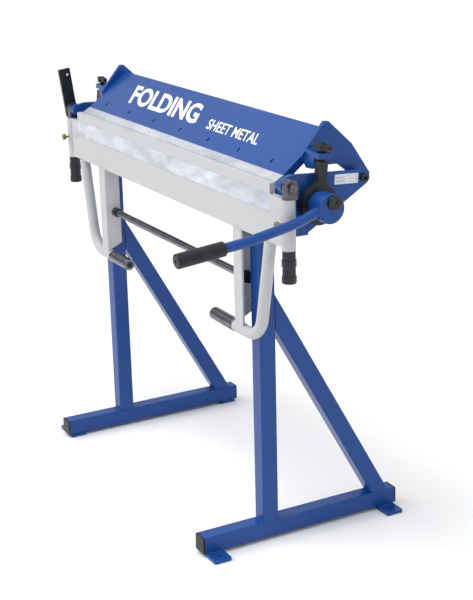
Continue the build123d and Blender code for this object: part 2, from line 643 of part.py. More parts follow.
def end_sleeve():
    """Right upright sleeve that the eye bolt slides in, with a cross hole for the lock screw."""
    sleeve = along_z(SLEEVE_X, SLEEVE_Y, SLEEVE_Z0, SLEEVE_Z1, SLEEVE_R, SLEEVE_BORE_R)
    front, bore = SLEEVE_Y - SLEEVE_R, SLEEVE_Y - SLEEVE_BORE_R
    return sleeve - along_y(SLEEVE_X, front - 1, bore + 1, LOCK_Z, 3.0 + CLEAR)


def eye_bolt():
    """Right eye bolt: a flat-sided eye on the pivot pin and a shank down through the sleeve."""
    middle = SLEEVE_X
    eye = along_x(EYE_X0, EYE_X1, BEND_Y, BED_Z, SLEEVE_R + 1.5)
    neck = block(EYE_X0, EYE_X1, BEND_Y - SLEEVE_R, BEND_Y + SLEEVE_R, SLEEVE_Z1, BED_Z)
    turned = along_z(middle, BEND_Y, SLEEVE_Z1, BED_Z + 30, SLEEVE_R + 1.0)
    head = (eye + neck) & turned
    shank = along_z(middle, SLEEVE_Y, SLEEVE_Z0 - KNOB_LENGTH + 12, SLEEVE_Z1, EYE_SHANK_R)
    return head + shank - along_x(EYE_X0 - 1, EYE_X1 + 1, BEND_Y, BED_Z, PIN_R + CLEAR)


def adjusting_knob():
    """Right fluted nut under the sleeve, with two raised rings."""
    z1 = SLEEVE_Z0 - GAP
    z0 = z1 - KNOB_LENGTH
    knob = along_z(SLEEVE_X, SLEEVE_Y, z0, z1, KNOB_R)
    reach = KNOB_R + 1.4
    for i in range(KNOB_FLUTES):
        turn = radians(360 / KNOB_FLUTES * i)
        knob -= along_z(SLEEVE_X + reach * cos(turn), SLEEVE_Y + reach * sin(turn), z0, z1, 2.4)
    knob += along_z(SLEEVE_X, SLEEVE_Y, z1 - 34, z1 - 20, KNOB_RING_R)
    knob += along_z(SLEEVE_X, SLEEVE_Y, z0, z0 + 15, KNOB_RING_R)
    knob = fillet(knob.edges().group_by(Axis.Z)[0], 2.5)
    return knob - along_z(SLEEVE_X, SLEEVE_Y, z0 + 10, z1 + 1, EYE_SHANK_R + CLEAR)


def lock_screw():
    """Right brass thumb screw that locks the eye bolt in its sleeve."""
    front = SLEEVE_Y - SLEEVE_R
    head = along_y(SLEEVE_X, front - 16, front - 9, LOCK_Z, 8.0)
    head = fillet(head.edges().filter_by(GeomType.CIRCLE), 1.2)
    return head + along_y(SLEEVE_X, front - 9, SLEEVE_Y - SLEEVE_BORE_R, LOCK_Z, 3.0)


def angle_arm():
    """Right angle arm under the beam: a front flange and a web running back."""
    front, rear = BEAM_FRONT_Y, BEAM_FRONT_Y + ARM_LEG
    foot = HANDLE_Z + HANDLE_R - 3
    flange = block(ARM_X0, ARM_X0 + ARM_FRONT, front, front + ARM_T, foot, BEAM_BOTTOM_Z)
    web = profile_x([(front, BEAM_BOTTOM_Z), (rear, BEAM_BOTTOM_Z), (rear, 537), (front, 517)],
                    ARM_X0, ARM_X0 + ARM_T)
    arm = flange + web - along_x(ARM_X0 - 1, ARM_X0 + ARM_T + 1, TIE_Y, TIE_Z, 7.0)
    return arm - handle_outside()


def handle_path():
    """Centre line of the right handle, from the beam down and round to the grip."""
    overrun = 40.0
    lean = (HANDLE_TOP_X - HANDLE_LOW_X) / (BEAM_BOTTOM_Z - HANDLE_Z)
    top = (HANDLE_TOP_X + overrun * lean, HANDLE_Y, BEAM_BOTTOM_Z + overrun)
    corner = (HANDLE_LOW_X, HANDLE_Y, HANDLE_Z)
    return FilletPolyline(top, corner, (HANDLE_END_X, HANDLE_Y, HANDLE_Z), radius=HANDLE_BEND)


def handle_outside():
    """Outer shape of the right handle tube, trimmed under the beam."""
    path = handle_path()
    tube = sweep(Plane(path @ 0, z_dir=path % 0) * Circle(HANDLE_R), path=path)
    return tube - block(0, 700, -200, 0, BEAM_BOTTOM_Z, 900)


def handle():
    """Right handle: a bent round tube."""
    path = handle_path()
    bore = sweep(Plane(path @ 0, z_dir=path % 0) * Circle(HANDLE_R - HANDLE_WALL), path=path)
    plug = along_x(HANDLE_END_X, HANDLE_END_X + 6, HANDLE_Y, HANDLE_Z, HANDLE_R - HANDLE_WALL, 5.0)
    return handle_outside() - bore + plug


def hand_grip():
    """Right turning grip: a polished steel sleeve on its axle bolt."""
    y = HANDLE_Y
    x1 = HANDLE_END_X - GAP
    grip = along_x(x1 - HAND_GRIP_LENGTH, x1, y, HANDLE_Z, GRIP_TUBE_R)
    grip = fillet(grip.edges().filter_by(GeomType.CIRCLE), 2.5)
    grip -= along_x(x1 - HAND_GRIP_LENGTH - 1, x1 + 1, y, HANDLE_Z, 5.0 + CLEAR)
    return grip - along_x(x1 - HAND_GRIP_LENGTH - 1, x1 - HAND_GRIP_LENGTH + 7, y, HANDLE_Z, 8.5)


def grip_bolt():
    """Right axle bolt of the hand grip, its head sunk in the grip's end."""
    y = HANDLE_Y
    x0 = HANDLE_END_X - GAP - HAND_GRIP_LENGTH
    bolt = along_x(x0 + 6.5, HANDLE_END_X + 6, y, HANDLE_Z, 5.0)
    head = along_x(x0 + 1.5, x0 + 6.5, y, HANDLE_Z, 8.0)
    return bolt + head - hex_along(Plane((x0 + 1.5, y, HANDLE_Z), z_dir=(1, 0, 0)), 6.0, 3.5)


def tie_rod():
    """Round bar between the angle arms, reduced where it passes through them."""
    rod = along_x(-ARM_X0, ARM_X0, TIE_Y, TIE_Z, TIE_R)
    return rod + along_x(-ARM_X0 - 20, ARM_X0 + 20, TIE_Y, TIE_Z, 6.95)


def tie_rod_collar():
    """Right collar on the tie rod, against the inner face of the angle arm."""
    collar = along_x(ARM_X0 - COLLAR_LENGTH, ARM_X0, TIE_Y, TIE_Z, COLLAR_R, TIE_R)
    return chamfer(collar.edges().group_by(Axis.X)[0], 0.8)


def tie_rod_nut():
    """Right hex nut and washer outside the angle arm."""
    x = ARM_X0 + ARM_T
    nut = along_x(x, x + 2.5, TIE_Y, TIE_Z, 14.0)
    nut += hex_along(Plane((x + 2.5, TIE_Y, TIE_Z), z_dir=(1, 0, 0)), 24.0, 13.0)
    return nut - along_x(x - 1, x + 17, TIE_Y, TIE_Z, 6.95)


# ---------------------------------------------------------------- write the sub-parts
def save_pair(name, solid):
    """Write the right part and its mirror image as two sub-parts."""
    right, left = both(solid)
    save(f"right_{name}", right)
    save(f"left_{name}", left)


def save_stand():
    save_pair("foot_bar", foot_bar())
    save_pair("upright", upright())
    save_pair("brace", brace())
    save("foot_end_caps", [foot_end_cap(x, end) for x in (-LEG_X, LEG_X) for end in (-1, 1)])
    save("floor_tabs", [floor_tab(side, end) for side in (-1, 1) for end in (-1, 1)])
    save("post_top_plates", both(top_plate()))
    save("bed_bolts", *[both(bed_bolt(dx)) for dx in (-BED_BOLT_DX, BED_BOLT_DX)])
    save("bed_tube", bed_tube())
    save("bed_jaw", bed_jaw())
    save("jaw_screws", [jaw_screw(x) for x in jaw_screw_places()])
    save_pair("side_plate", side_plate())
    save("pivot_bosses", both(pivot_boss()))
    save("pivot_pins", [pivot_pin(1), pivot_pin(-1)])
    save("pivot_washers", pivot_washers())
    save("stop_arm", stop_arm())
    save("clamp_pivot_bolts", both(clamp_pivot_bolt()))
    save("clamp_pivot_nuts", both(clamp_pivot_nut()))
    save("shaft_bushes", both(shaft_bush()))
    save("rating_label", rating_label())


def save_clamping_beam():
    save("clamp_face_plate", clamp_face_plate())
    save("clamp_nose_block", clamp_nose_block())
    save("clamp_blade", clamp_blade())
    save("blade_screws", [blade_screw(x) for x in slot_places()])
    save("clamp_end_plates", both(end_plate()))
    save("clamp_top_flange", clamp_top_flange())
    save("clamp_ribs", [clamp_rib(x) for x in (-300, -100, 100, 300)])
    save("rod_brackets", both(rod_bracket()))


def save_clamping_drive():
    save("eccentric_shaft", eccentric_shaft())
    save("right_eccentric", eccentric(DRUM_X1))
    save("left_eccentric", mirror(eccentric(LEFT_DRUM_X1), about=Plane.YZ))
    save("shaft_caps", [shaft_cap(DRUM_X1), shaft_cap(-LEFT_DRUM_X1)])
    save("clamp_lever_tube", clamp_lever_tube())
    save("lever_grip", lever_grip())
    save_pair("pull_rod", pull_rod())
    save_pair("rod_stud", rod_stud())
    save("right_wing_nut", wing_nut(9.0))
    save("left_wing_nut", mirror(wing_nut(5.0), about=Plane.YZ))


def save_bending_beam():
    save("bending_beam_plate", bending_beam_plate())
    save("bending_rail", bending_rail())
    save("end_sleeves", both(end_sleeve()))
    save("eye_bolts", both(eye_bolt()))
    save("angle_arms", both(angle_arm()))
    save("tie_rod", tie_rod())
    save("tie_rod_nuts", both(tie_rod_nut()))
    save("tie_rod_collars", both(tie_rod_collar()))
    save("grip_bolts", both(grip_bolt()))
    save_pair("handle", handle())
    save_pair("grip", hand_grip())
    save_pair("adjusting_knob", adjusting_knob())
    save_pair("lock_screw", lock_screw())


save_stand()
save_clamping_beam()
save_clamping_drive()
save_bending_beam()
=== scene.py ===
"""Looks of the sheet metal brake: materials, weld beads, threads, floor, light and camera."""

import json
import math

import bmesh
import bpy
from mathutils import Matrix, Vector


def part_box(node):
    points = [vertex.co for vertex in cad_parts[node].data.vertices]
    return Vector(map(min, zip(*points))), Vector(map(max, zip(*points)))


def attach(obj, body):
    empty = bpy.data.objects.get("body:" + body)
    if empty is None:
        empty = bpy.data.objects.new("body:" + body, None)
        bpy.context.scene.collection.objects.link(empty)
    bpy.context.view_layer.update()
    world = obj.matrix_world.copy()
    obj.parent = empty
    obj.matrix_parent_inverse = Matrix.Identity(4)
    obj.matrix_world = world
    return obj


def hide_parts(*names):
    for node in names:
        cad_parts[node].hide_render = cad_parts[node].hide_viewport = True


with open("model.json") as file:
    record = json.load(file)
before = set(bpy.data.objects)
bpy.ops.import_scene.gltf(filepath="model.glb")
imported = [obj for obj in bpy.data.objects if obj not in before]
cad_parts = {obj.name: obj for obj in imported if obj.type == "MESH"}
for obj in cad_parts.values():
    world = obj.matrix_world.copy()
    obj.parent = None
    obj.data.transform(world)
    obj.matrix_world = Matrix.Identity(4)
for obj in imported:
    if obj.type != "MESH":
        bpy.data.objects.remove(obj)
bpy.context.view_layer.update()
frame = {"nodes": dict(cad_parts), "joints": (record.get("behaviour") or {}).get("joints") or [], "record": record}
nodes = frame["nodes"]

MM = 0.001

# ---------------------------------------------------------------- camera and room
CAMERA_AT = (2.9402, -1.5114, 1.4996)
CAMERA_YAW = 1.079
CAMERA_PITCH = 0.307
CAMERA_ROLL = -0.025
CAMERA_LENS = 83.56
SENSOR_WIDTH = 36.0
ROOM = 60.0

# ---------------------------------------------------------------- edges of the CAD nodes
SHARP = math.radians(32)
NEARLY_FLAT = math.radians(0.5)
SAME_POINT = 0.02 * MM
PLATE_EDGE = 0.9 * MM
BAR_EDGE = 0.4 * MM
PLATES = ("bending_beam_plate", "clamp_face_plate", "clamp_end_plates", "clamp_top_flange",
          "rod_brackets", "left_side_plate", "right_side_plate", "floor_tabs", "post_top_plates",
          "angle_arms", "clamp_nose_block", "clamp_ribs")
BARS = ("bed_jaw", "clamp_blade", "bed_tube")

# ---------------------------------------------------------------- weld beads
STAND_BEAD = 4.5 * MM
BRACKET_BEAD = 4.5 * MM
BRACKET_SIDE_BEAD = 4.0 * MM
BRACKET_FOOT_Z = 890 * MM
ARM_BEAD = 3.6 * MM
ARM_BEAD_X = (352 * MM, 385 * MM)
SLEEVE_BEAD = 6.0 * MM
BEAD_STEP = 1.4 * MM
BEAD_SIDES = 9
TAB_WIDTH = 43 * MM

# ---------------------------------------------------------------- threads
THREAD_CORE = 5.0 * MM
THREAD_CREST = 5.95 * MM
THREAD_PITCH = 1.75 * MM
THREAD_SIDES = 28
ROWS_PER_PITCH = 4

# ---------------------------------------------------------------- lettering and label
FACE_SLOPE = math.radians(38.3)
LETTER_T = 0.25 * MM
LETTER_SHEAR = -0.5
LABEL_TILT = math.radians(-3.2)
LABEL_RULE = 0.4
LABEL_LEFT, LABEL_RIGHT = -6.0, 25.5
LABEL_ROWS = (6.2, -0.6, -7.4)
DASH_LENGTH, DASH_PITCH, DASHES = 2.3, 3.4, 5


# ---------------------------------------------------------------- shader helpers
class Shader:
    """A material with a Principled shader and short calls to add the nodes that feed it."""

    def __init__(self, name, **values):
        self.material = bpy.data.materials.new(name)
        self.material.use_nodes = True
        self.tree = self.material.node_tree
        self.main = self.tree.nodes["Principled BSDF"]
        for socket, value in values.items():
            self.main.inputs[socket.replace("_", " ")].default_value = value
        self.place = self.tree.nodes.new("ShaderNodeTexCoord").outputs["Object"]
        self.bumps = None

    def node(self, kind, **settings):
        made = self.tree.nodes.new(kind)
        for key, value in settings.items():
            setattr(made, key, value)
        return made

    def link(self, source, target):
        self.tree.links.new(source, target)

    def stretched(self, scale):
        """Object coordinates, in metres, scaled along each axis."""
        mapping = self.node("ShaderNodeMapping")
        mapping.inputs["Scale"].default_value = scale
        self.link(self.place, mapping.inputs["Vector"])
        return mapping.outputs["Vector"]

    def noise(self, scale, detail=4.0, rough=0.55, stretch=(1, 1, 1), distort=0.0):
        made = self.node("ShaderNodeTexNoise")
        made.inputs["Scale"].default_value = scale
        made.inputs["Detail"].default_value = detail
        made.inputs["Roughness"].default_value = rough
        made.inputs["Distortion"].default_value = distort
        self.link(self.stretched(stretch), made.inputs["Vector"])
        return made.outputs["Fac"]

    def ramp(self, source, *stops):
        """Colour ramp from (position, colour) stops."""
        made = self.node("ShaderNodeValToRGB")
        ramp = made.color_ramp
        while len(ramp.elements) < len(stops):
            ramp.elements.new(0.5)
        for element, (position, colour) in zip(ramp.elements, stops):
            element.position = position
            element.color = (*colour, 1.0)
        self.link(source, made.inputs["Fac"])
        return made.outputs["Color"]

    def span(self, source, low, high, start=0.3, end=0.7):
        """The source from start to end, spread over low to high."""
        made = self.node("ShaderNodeMapRange")
        for socket, value in (("From Min", start), ("From Max", end), ("To Min", low), ("To Max", high)):
            made.inputs[socket].default_value = value
        self.link(source, made.inputs["Value"])
        return made.outputs["Result"]

    def mix(self, factor, first, second):
        """Mix of two colours; each is a socket or a plain colour."""
        made = self.node("ShaderNodeMix", data_type="RGBA")
        self.link(factor, made.inputs["Factor"])
        for value, socket in ((first, made.inputs[6]), (second, made.inputs[7])):
            if isinstance(value, tuple):
                socket.default_value = (*value, 1.0)
            else:
                self.link(value, socket)
        return made.outputs[2]

    def times(self, first, second):
        made = self.node("ShaderNodeMath", operation="MULTIPLY")
        for value, socket in ((first, made.inputs[0]), (second, made.inputs[1])):
            if isinstance(value, float):
                socket.default_value = value
            else:
                self.link(value, socket)
        return made.outputs[0]

    def bump(self, source, strength, distance):
        made = self.node("ShaderNodeBump")
        made.inputs["Strength"].default_value = strength
        made.inputs["Distance"].default_value = distance
        self.link(source, made.inputs["Height"])
        if self.bumps is not None:
            self.link(self.bumps, made.inputs["Normal"])
        self.bumps = made.outputs["Normal"]
        self.link(self.bumps, self.main.inputs["Normal"])

    def edges(self, radius, low=0.0, high=1.0):
        """1 along sharp edges and 0 on flat faces, broken up by noise."""
        bevel = self.node("ShaderNodeBevel", samples=6)
        bevel.inputs["Radius"].default_value = radius
        flat = self.node("ShaderNodeNewGeometry").outputs["Normal"]
        dot = self.node("ShaderNodeVectorMath", operation="DOT_PRODUCT")
        self.link(bevel.outputs["Normal"], dot.inputs[0])
        self.link(flat, dot.inputs[1])
        edge = self.span(dot.outputs["Value"], 1.0, 0.0, 0.90, 0.995)
        return self.times(edge, self.span(self.noise(90.0, 5.0), low, high, 0.35, 0.6))

    def colour(self, source):
        self.link(source, self.main.inputs["Base Color"])

    def roughness(self, source):
        self.link(source, self.main.inputs["Roughness"])


# ---------------------------------------------------------------- materials
def enamel(name, deep, plain, worn, rough, peel):
    """Sprayed enamel: slow colour drift, fine orange peel and thin paint on edges."""
    s = Shader(name, Coat_Weight=0.14, Coat_Roughness=0.08, Specular_IOR_Level=0.26)
    drift = s.ramp(s.noise(3.0, 4.0), (0.30, deep), (0.68, plain))
    s.colour(s.mix(s.times(s.edges(1.1 * MM), 0.5), drift, worn))
    s.roughness(s.span(s.noise(14.0, 6.0), rough - 0.03, rough + 0.06))
    s.bump(s.noise(420.0, 2.0), peel, 0.22 * MM)
    return s.material


def blue_paint():
    return enamel("blue_paint", (0.006, 0.053, 0.240), (0.008, 0.063, 0.275), (0.07, 0.17, 0.48), 0.28, 0.06)


def grey_paint():
    return enamel("grey_paint", (0.485, 0.490, 0.500), (0.520, 0.525, 0.533), (0.64, 0.65, 0.66), 0.34, 0.06)


def ground_steel():
    """Ground bare steel: fine lines along X, with cloudy reflections painted into the colour as lighter and darker
    patches, and a painted highlight along the edges.
    """
    s = Shader("ground_steel", Metallic=0.7, Anisotropic=0.45)
    lines = s.noise(1.0, 6.0, 0.7, (6.0, 900.0, 900.0))
    painted_reflection_clouds = s.noise(9.0, 6.0, 0.62, (1.0, 2.6, 2.6), 0.6)
    # painted reflection: the cloud noise runs the colour from dark blue-grey to near white in soft patches,
    # standing in for reflections
    body = s.ramp(painted_reflection_clouds, (0.30, (0.46, 0.485, 0.56)), (0.50, (0.64, 0.665, 0.74)),
                  (0.66, (0.84, 0.86, 0.91)))
    # the grinding lines are mixed over the painted reflection colour
    reflections_and_grind_lines = s.mix(s.times(s.span(lines, 0.0, 1.0, 0.4, 0.62), 0.35), body, (0.52, 0.54, 0.59))
    # painted highlight: a near-white colour mixed in along the sharp edges
    s.colour(s.mix(s.times(s.edges(0.9 * MM), 0.6), reflections_and_grind_lines, (0.93, 0.93, 0.95)))
    s.roughness(s.span(painted_reflection_clouds, 0.44, 0.24))
    s.bump(lines, 0.18, 0.10 * MM)
    return s.material


def bright_steel():
    """Turned steel with fine rings."""
    s = Shader("bright_steel", Metallic=1.0)
    rings = s.noise(1.0, 4.0, 0.6, (2200.0, 25.0, 25.0))
    s.colour(s.ramp(s.noise(60.0, 5.0), (0.3, (0.44, 0.45, 0.47)), (0.7, (0.66, 0.665, 0.68))))
    s.roughness(s.span(rings, 0.20, 0.36))
    s.bump(rings, 0.12, 0.06 * MM)
    return s.material


def chrome_steel():
    """Polished steel, with faint hand marks and polishing rings."""
    s = Shader("chrome_steel", Metallic=1.0)
    marks = s.noise(34.0, 7.0, 0.65)
    rings = s.noise(1.0, 3.0, 0.6, (1600.0, 10.0, 10.0))
    s.colour(s.ramp(marks, (0.32, (0.11, 0.112, 0.13)), (0.66, (0.20, 0.205, 0.225))))
    s.roughness(s.span(marks, 0.08, 0.17))
    s.bump(rings, 0.06, 0.04 * MM)
    return s.material


def dark_steel(name, deep, plain, worn, wear, metallic, rough):
    """Blackened or oiled steel with worn bright edges."""
    s = Shader(name, Metallic=metallic, Specular_IOR_Level=0.5, Coat_Weight=0.15, Coat_Roughness=0.22)
    body = s.ramp(s.noise(120.0, 6.0, 0.6), (0.32, deep), (0.68, plain))
    s.colour(s.mix(s.times(s.edges(0.9 * MM, 0.1, 1.0), wear), body, worn))
    s.roughness(s.span(s.noise(70.0, 6.0), rough - 0.07, rough + 0.08))
    s.bump(s.noise(700.0, 3.0), 0.10, 0.12 * MM)
    return s.material


def black_casting():
    """Painted casting: a coarse skin under black paint, rubbed on its edges."""
    s = Shader("black_casting", Metallic=0.1, Specular_IOR_Level=0.34, Coat_Weight=0.12, Coat_Roughness=0.25)
    body = s.ramp(s.noise(80.0, 6.0), (0.32, (0.010, 0.0105, 0.013)), (0.68, (0.022, 0.0235, 0.029)))
    s.colour(s.mix(s.times(s.edges(1.4 * MM, 0.0, 1.0), 0.22), body, (0.13, 0.115, 0.11)))
    s.roughness(s.span(s.noise(60.0, 6.0), 0.32, 0.5))
    s.bump(s.noise(240.0, 5.0, 0.65), 0.35, 0.5 * MM)
    return s.material


def black_plastic():
    """Moulded plastic with a fine grain."""
    s = Shader("black_plastic", Specular_IOR_Level=0.32)
    s.colour(s.ramp(s.noise(50.0, 4.0), (0.3, (0.009, 0.0098, 0.013)), (0.7, (0.017, 0.0185, 0.024))))
    s.roughness(s.span(s.noise(30.0, 5.0), 0.36, 0.52))
    s.bump(s.noise(1500.0, 2.0), 0.22, 0.12 * MM)
    return s.material


def yellow_metal(name, dark, light):
    """Turned brass or bronze, dulled in patches."""
    s = Shader(name, Metallic=1.0)
    patches = s.noise(180.0, 6.0)
    s.colour(s.ramp(patches, (0.3, dark), (0.68, light)))
    s.roughness(s.span(patches, 0.42, 0.2))
    s.bump(s.noise(1.0, 3.0, 0.6, (60.0, 2400.0, 60.0)), 0.08, 0.05 * MM)
    return s.material


def label_foil():
    """Satin printed foil."""
    s = Shader("label_foil", Metallic=0.35, Coat_Weight=0.3, Coat_Roughness=0.2)
    s.colour(s.ramp(s.noise(140.0, 4.0), (0.3, (0.60, 0.62, 0.65)), (0.7, (0.74, 0.755, 0.78))))
    s.roughness(s.span(s.noise(1.0, 4.0, 0.6, (40.0, 1800.0, 60.0)), 0.3, 0.42))
    s.bump(s.noise(900.0, 2.0), 0.05, 0.05 * MM)
    return s.material


def label_ink():
    """Printed grey ink."""
    s = Shader("label_ink")
    s.colour(s.ramp(s.noise(900.0, 4.0), (0.3, (0.12, 0.125, 0.14)), (0.7, (0.22, 0.225, 0.24))))
    s.roughness(s.span(s.noise(300.0), 0.4, 0.55))
    return s.material


def letter_white():
    """Screen-printed white ink."""
    s = Shader("letter_white", Coat_Weight=0.2, Coat_Roughness=0.2)
    s.colour(s.ramp(s.noise(300.0, 4.0), (0.3, (0.82, 0.83, 0.85)), (0.7, (0.90, 0.905, 0.92))))
    s.roughness(s.span(s.noise(120.0), 0.32, 0.45))
    return s.material


def floor_white():
    """Matt pale floor with a hint of unevenness."""
    s = Shader("floor_white", Specular_IOR_Level=0.2)
    s.colour(s.ramp(s.noise(0.6, 3.0), (0.3, (0.90, 0.90, 0.905)), (0.7, (0.93, 0.93, 0.93))))
    s.roughness(s.span(s.noise(3.0), 0.7, 0.8))
    return s.material


PAINTS = {
    "blue_paint": blue_paint(),
    "grey_paint": grey_paint(),
    "ground_steel": ground_steel(),
    "bright_steel": bright_steel(),
    "chrome_steel": chrome_steel(),
    "black_steel": dark_steel("black_steel", (0.0085, 0.0095, 0.0135), (0.020, 0.0225, 0.031),
                              (0.13, 0.135, 0.16), 0.6, 0.4, 0.33),
    "worn_steel": dark_steel("worn_steel", (0.012, 0.0125, 0.016), (0.034, 0.035, 0.042),
                             (0.34, 0.34, 0.37), 0.9, 0.6, 0.34),
    "oiled_steel": dark_steel("oiled_steel", (0.07, 0.07, 0.082), (0.14, 0.14, 0.155),
                              (0.42, 0.42, 0.45), 0.8, 0.9, 0.30),
    "black_casting": black_casting(),
    "black_plastic": black_plastic(),
    "brass": yellow_metal("brass", (0.15, 0.11, 0.045), (0.38, 0.30, 0.14)),
    "bronze": yellow_metal("bronze", (0.22, 0.14, 0.07), (0.50, 0.34, 0.17)),
    "label_foil": label_foil(),
    "label_ink": label_ink(),
    "letter_white": letter_white(),
}
OWN_PAINT = {"left_pull_rod": "black_casting", "right_pull_rod": "black_casting",
             "left_wing_nut": "worn_steel", "right_wing_nut": "worn_steel",
             "eye_bolts": "oiled_steel", "pivot_pins": "oiled_steel"}


def dress(name, paint):
    """Gives a CAD node its material in place of the one it came with."""
    thing = nodes[name]
    thing.data.materials.clear()
    thing.data.materials.append(PAINTS[paint])


for entry in frame["record"]["subparts"]:
    dress(entry["node"], OWN_PAINT.get(entry["node"], entry["material_slot"]))


def soften(name, width, segments=2):
    """Rounds a CAD node's sharp edges by a small bevel."""
    thing = nodes[name]
    weld = thing.modifiers.new("weld", "WELD")
    weld.merge_threshold = SAME_POINT
    flat = thing.modifiers.new("flat", "DECIMATE")
    flat.decimate_type = "DISSOLVE"
    flat.angle_limit = NEARLY_FLAT
    bevel = thing.modifiers.new("bevel", "BEVEL")
    bevel.width = width
    bevel.segments = segments
    bevel.limit_method = "ANGLE"
    bevel.angle_limit = SHARP
    bevel.harden_normals = True


for plate in PLATES:
    soften(plate, PLATE_EDGE)
for bar in BARS:
    soften(bar, BAR_EDGE)


def two_tone_washers():
    """The washers outboard of the eyes are steel, the inner ones bronze."""
    thing = nodes["pivot_washers"]
    thing.data.materials.append(PAINTS["oiled_steel"])
    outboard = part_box("eye_bolts")[1].x - 5 * MM
    for face in thing.data.polygons:
        face.material_index = int(abs((thing.matrix_world @ face.center).x) > outboard)


two_tone_washers()


# ---------------------------------------------------------------- mesh helpers
def new_piece(name, mesh_parts, paint, body):
    """A mesh object from a bmesh, with its material, riding on a body."""
    mesh = bpy.data.meshes.new(name)
    mesh_parts.to_mesh(mesh)
    mesh_parts.free()
    mesh.materials.append(PAINTS[paint])
    thing = bpy.data.objects.new(name, mesh)
    bpy.context.scene.collection.objects.link(thing)
    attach(thing, body)
    return thing


def bead(parts, start, end, width, across, seed=0.0):
    """A hand-laid weld bead from start to end; across is the bisector that it bulges along."""
    start, end, across = Vector(start), Vector(end), Vector(across).normalized()
    along = (end - start).normalized()
    side = along.cross(across).normalized()
    length = (end - start).length
    steps = max(6, int(length / BEAD_STEP))
    previous = None
    for i in range(steps + 1):
        t = i / steps
        ripple = 1.0 + 0.10 * math.sin(i * 2.1 + seed) + 0.06 * math.sin(i * 0.67 + 2 * seed)
        taper = min(1.0, 0.25 + 6.0 * min(t, 1 - t))
        centre = start + along * (length * t) + side * (0.05 * width * math.sin(i * 0.45 + seed))
        loop = []
        reach = 0.5 * width * taper * ripple
        for k in range(BEAD_SIDES):
            turn = 2 * math.pi * k / BEAD_SIDES
            push = side * (math.cos(turn) * reach) + across * (math.sin(turn) * reach * 0.55)
            lag = along * (-0.5 * MM * math.cos(turn))
            loop.append(parts.verts.new(centre + push + lag))
        if previous:
            for k in range(BEAD_SIDES):
                after = (k + 1) % BEAD_SIDES
                face = parts.faces.new((previous[k], previous[after], loop[after], loop[k]))
                face.smooth = True
        else:
            parts.faces.new(list(reversed(loop)))
        previous = loop
    parts.faces.new(previous)


def helix_thread(parts, start, axis, core, crest, pitch, length):
    """A threaded rod with a helical ridge and flat ends."""
    start, axis = Vector(start), Vector(axis).normalized()
    first = axis.orthogonal().normalized()
    second = axis.cross(first)
    rows = int(length / pitch * ROWS_PER_PITCH)
    grid = []
    for i in range(rows + 1):
        row = []
        for k in range(THREAD_SIDES):
            turn = 2 * math.pi * k / THREAD_SIDES
            phase = (i / ROWS_PER_PITCH - k / THREAD_SIDES) % 1.0
            rise = 1.0 - abs(2 * phase - 1)
            r = core + (crest - core) * rise
            out = first * math.cos(turn) + second * math.sin(turn)
            row.append(parts.verts.new(start + axis * (length * i / rows) + out * r))
        grid.append(row)
    for low, high in zip(grid, grid[1:]):
        for k in range(THREAD_SIDES):
            after = (k + 1) % THREAD_SIDES
            parts.faces.new((low[k], low[after], high[after], high[k]))
    parts.faces.new(list(reversed(grid[0])))
    parts.faces.new(grid[-1])


# ---------------------------------------------------------------- stand welds
def stand_welds():
    """Beads round the feet of the uprights, along the braces and on the floor tabs."""
    parts = bmesh.new()
    side_bead = STAND_BEAD * 0.8
    for side in ("left", "right"):
        post_low, post_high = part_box(f"{side}_upright")
        brace_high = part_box(f"{side}_brace")[1]
        x0, x1 = post_low.x + 3 * MM, post_high.x - 3 * MM
        y0, y1, foot = post_low.y, post_high.y, post_low.z
        bead(parts, (x0, y0, foot), (x1, y0, foot), STAND_BEAD, (0, -1, 1), 0.4)
        for x, out in ((post_low.x, -1), (post_high.x, 1)):
            bead(parts, (x, y0 + 3 * MM, foot), (x, y1 - 3 * MM, foot), side_bead, (out, 0, 0.4), 1.1)
        bead(parts, (x0, y1, brace_high.z), (x1, y1, brace_high.z), STAND_BEAD, (0, 1, 1), 2.0)
        bead(parts, (x0, brace_high.y, foot), (x1, brace_high.y, foot), STAND_BEAD, (0, 1, 1), 3.0)
    low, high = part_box("floor_tabs")
    for side in (-1, 1):
        bar_low, bar_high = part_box("left_foot_bar" if side < 0 else "right_foot_bar")
        edge = bar_low.x if side < 0 else bar_high.x
        for y in (low.y, high.y):
            inner = y + (TAB_WIDTH if y < 0 else -TAB_WIDTH)
            bead(parts, (edge, y, high.z), (edge, inner, high.z), STAND_BEAD, (side, 0, 1), 1.7)
    return new_piece("stand_welds", parts, "blue_paint", "stand")


stand_welds()


def clamp_beam_welds():
    """Beads that join the rod brackets to the end plates of the clamping beam."""
    parts = bmesh.new()
    low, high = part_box("rod_brackets")
    plate_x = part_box("clamp_end_plates")[1].x
    for side in (-1, 1):
        x = side * plate_x
        bead(parts, (x, low.y + 4 * MM, high.z), (x, high.y - 2 * MM, high.z),
             BRACKET_BEAD, (side, 0, 1), 0.6)
        bead(parts, (x, low.y, BRACKET_FOOT_Z), (x, low.y, high.z - 12 * MM),
             BRACKET_SIDE_BEAD, (side, -1, 0), 1.9)
    return new_piece("clamp_beam_welds", parts, "blue_paint", "clamp_beam")


clamp_beam_welds()


def bending_beam_welds():
    """Beads under the angle arms and up the ends of the bending beam."""
    parts = bmesh.new()
    low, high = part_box("bending_beam_plate")
    sleeve_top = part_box("end_sleeves")[1].z
    for side in (-1, 1):
        x0, x1 = (side * x for x in ARM_BEAD_X)
        bead(parts, (x0, low.y, low.z), (x1, low.y, low.z), ARM_BEAD, (0, -1, -1), 2.2)
        edge = side * high.x
        bead(parts, (edge, low.y, low.z + 3 * MM), (edge, low.y, sleeve_top - 3 * MM),
             SLEEVE_BEAD, (side, -1, 0), 1.2)
    return new_piece("bending_beam_welds", parts, "grey_paint", "bending_beam")


bending_beam_welds()


